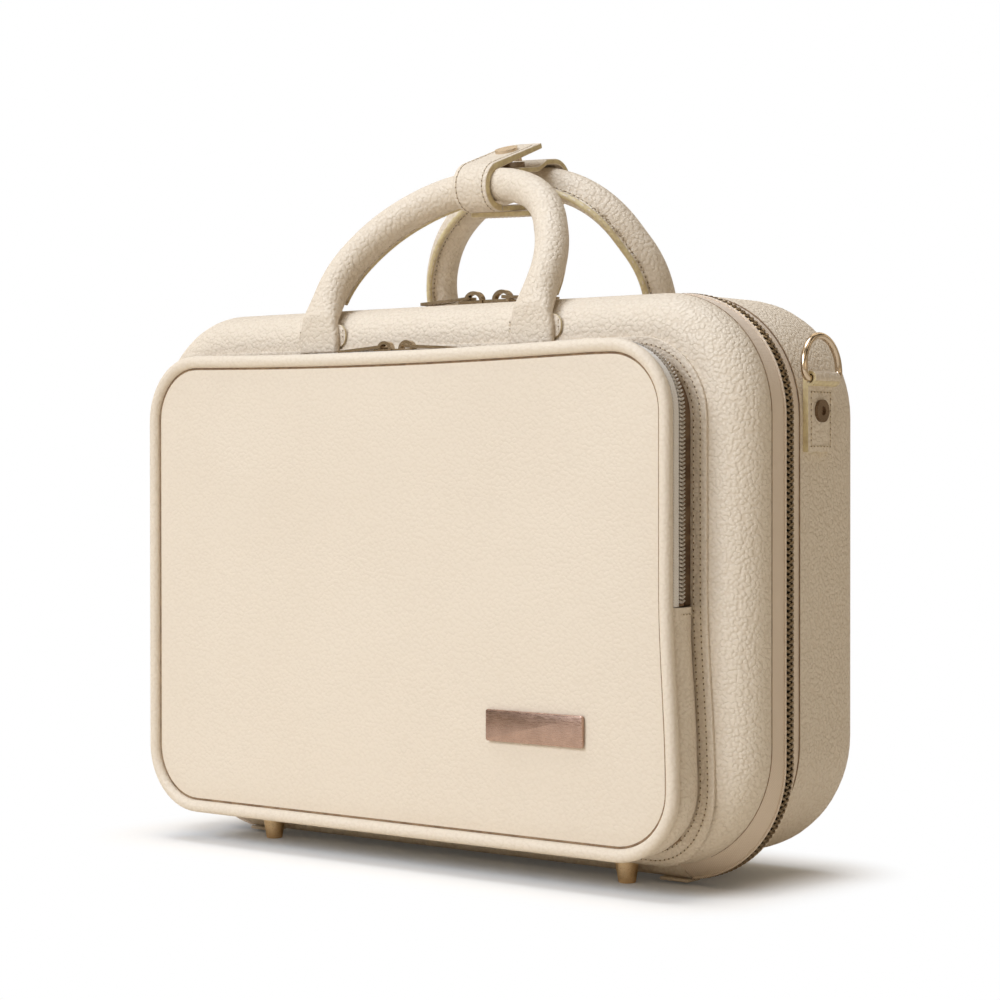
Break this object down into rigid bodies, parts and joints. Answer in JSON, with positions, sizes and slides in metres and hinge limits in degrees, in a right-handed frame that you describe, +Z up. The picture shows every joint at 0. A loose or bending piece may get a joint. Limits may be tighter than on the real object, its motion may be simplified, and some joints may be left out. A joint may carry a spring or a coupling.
{
  "type": "oboe case",
  "caption": "zip-around leather oboe case with a moulded joint tray, zipped front pocket, two rolled carrying handles held by a snap wrap, and side rings for a shoulder strap",
  "frame": {"origin": "on the floor under the middle of the overall box", "axes": "+Z up, -Y is the front with the pocket, X along the case's width"},
  "size_m": [0.315, 0.1076, 0.2824],
  "materials": {
    "shell_leather": "pebbled, satin",
    "strap_leather": "pebbled, satin, stitched",
    "core_board": "plain",
    "lining_plush": "short pile",
    "tray_plush": "short pile over foam",
    "zip_tape": "woven",
    "zip_coil": "satin",
    "zip_metal": "light gold plate",
    "pull_metal": "light gold plate",
    "foot_metal": "satin bronze",
    "badge_metal": "brushed bronze rose",
    "rope_core": "cord"
  },
  "bodies": {
    "base": {"base_cover": "shell_leather", "base_core": "core_board", "base_lining": "lining_plush", "joint_tray": "tray_plush", "base_feet": "foot_metal", "base_zip_tape": "zip_tape", "base_zip_teeth": "zip_metal", "hinge_strip": "shell_leather", "zip_end_tabs": "strap_leather", "ring_tab_left": "strap_leather", "ring_tab_right": "strap_leather", "ring_rivets": "pull_metal", "back_handle_tabs": "strap_leather"},
    "lid": {"lid_cover": "shell_leather", "lid_core": "core_board", "lid_lining": "lining_plush", "lid_pad": "lining_plush", "lid_feet": "foot_metal", "lid_zip_tape": "zip_tape", "lid_zip_teeth": "zip_metal", "pocket_flange": "shell_leather", "pocket_gusset": "shell_leather", "pocket_inner_tape": "zip_tape", "pocket_inner_coil": "zip_coil", "pocket_panel_lower": "shell_leather", "pocket_piping_lower": "strap_leather", "badge_plate": "badge_metal", "front_handle_tabs": "strap_leather"},
    "pocket_flap": {"pocket_panel_upper": "shell_leather", "pocket_piping_upper": "strap_leather", "pocket_outer_tape": "zip_tape", "pocket_outer_coil": "zip_coil"},
    "front_handle": {"front_handle_cover": "strap_leather", "front_handle_core": "rope_core"},
    "back_handle": {"back_handle_cover": "strap_leather", "back_handle_core": "rope_core", "wrap_back": "strap_leather", "wrap_patch": "strap_leather", "snap_stud": "pull_metal"},
    "handle_wrap": {"wrap_front": "strap_leather", "snap_socket": "pull_metal"},
    "main_slider_left": {"main_slider_left": "pull_metal"},
    "main_slider_right": {"main_slider_right": "pull_metal"},
    "main_pull_left": {"main_pull_left": "pull_metal"},
    "main_pull_right": {"main_pull_right": "pull_metal"},
    "pocket_slider_left": {"pocket_slider_left": "pull_metal"},
    "pocket_slider_right": {"pocket_slider_right": "pull_metal"},
    "pocket_pull_left": {"pocket_pull_left": "pull_metal"},
    "pocket_pull_right": {"pocket_pull_right": "pull_metal"},
    "d_ring_left": {"d_ring_left": "pull_metal"},
    "d_ring_right": {"d_ring_right": "pull_metal"}
  },
  "joints": [
    {"name": "lid_hinge", "type": "hinge", "parent": "base", "child": "lid", "pos_m": [0, -0.0083, 0.0016], "axis": [1, 0, 0], "range_deg": [0, 180], "deforming": ["hinge_strip"]},
    {"name": "pocket_opening", "type": "hinge", "parent": "lid", "child": "pocket_flap", "pos_m": [0, -0.0539, 0.1035], "axis": [1, 0, 0], "range_deg": [0, 50]},
    {"name": "front_handle_swing", "type": "hinge", "parent": "lid", "child": "front_handle", "pos_m": [0, -0.0373, 0.2085], "axis": [1, 0, 0], "range_deg": [0, 120]},
    {"name": "back_handle_swing", "type": "hinge", "parent": "base", "child": "back_handle", "pos_m": [0, 0.0516, 0.206], "axis": [1, 0, 0], "range_deg": [-100, 0]},
    {"name": "wrap_opening", "type": "hinge", "parent": "back_handle", "child": "handle_wrap", "pos_m": [0.00804, -0.00299, 0.2531], "axis": [0.9994, 0.0042, -0.0346], "range_deg": [0, 110]},
    {"name": "main_slider_left_run", "type": "slide", "parent": "base", "child": "main_slider_left", "axis": [-1, 0, 0], "range_m": [0, 0.104]},
    {"name": "main_slider_right_run", "type": "slide", "parent": "base", "child": "main_slider_right", "axis": [1, 0, 0], "range_m": [0, 0.078]},
    {"name": "main_pull_left_lift", "type": "hinge", "parent": "main_slider_left", "child": "main_pull_left", "pos_m": [0.00475, -0.0083, 0.2188], "axis": [0, 1, 0], "range_deg": [0, 100]},
    {"name": "main_pull_right_lift", "type": "hinge", "parent": "main_slider_right", "child": "main_pull_right", "pos_m": [0.02305, -0.0083, 0.2188], "axis": [0, -1, 0], "range_deg": [0, 100]},
    {"name": "pocket_slider_left_run", "type": "slide", "parent": "lid", "child": "pocket_slider_left", "axis": [-1, 0, 0], "range_m": [0, 0.09]},
    {"name": "pocket_slider_right_run", "type": "slide", "parent": "lid", "child": "pocket_slider_right", "axis": [1, 0, 0], "range_m": [0, 0.096]},
    {"name": "pocket_pull_left_lift", "type": "hinge", "parent": "pocket_slider_left", "child": "pocket_pull_left", "pos_m": [-0.00965, -0.0435, 0.199], "axis": [0, 1, 0], "range_deg": [0, 100]},
    {"name": "pocket_pull_right_lift", "type": "hinge", "parent": "pocket_slider_right", "child": "pocket_pull_right", "pos_m": [0.00365, -0.0435, 0.199], "axis": [0, -1, 0], "range_deg": [0, 100]},
    {"name": "d_ring_left_swing", "type": "hinge", "parent": "base", "child": "d_ring_left", "pos_m": [-0.1548, 0.009, 0.1844], "axis": [0, -1, 0], "range_deg": [0, 150]},
    {"name": "d_ring_right_swing", "type": "hinge", "parent": "base", "child": "d_ring_right", "pos_m": [0.1548, 0.009, 0.1844], "axis": [0, 1, 0], "range_deg": [0, 150]}
  ]
}
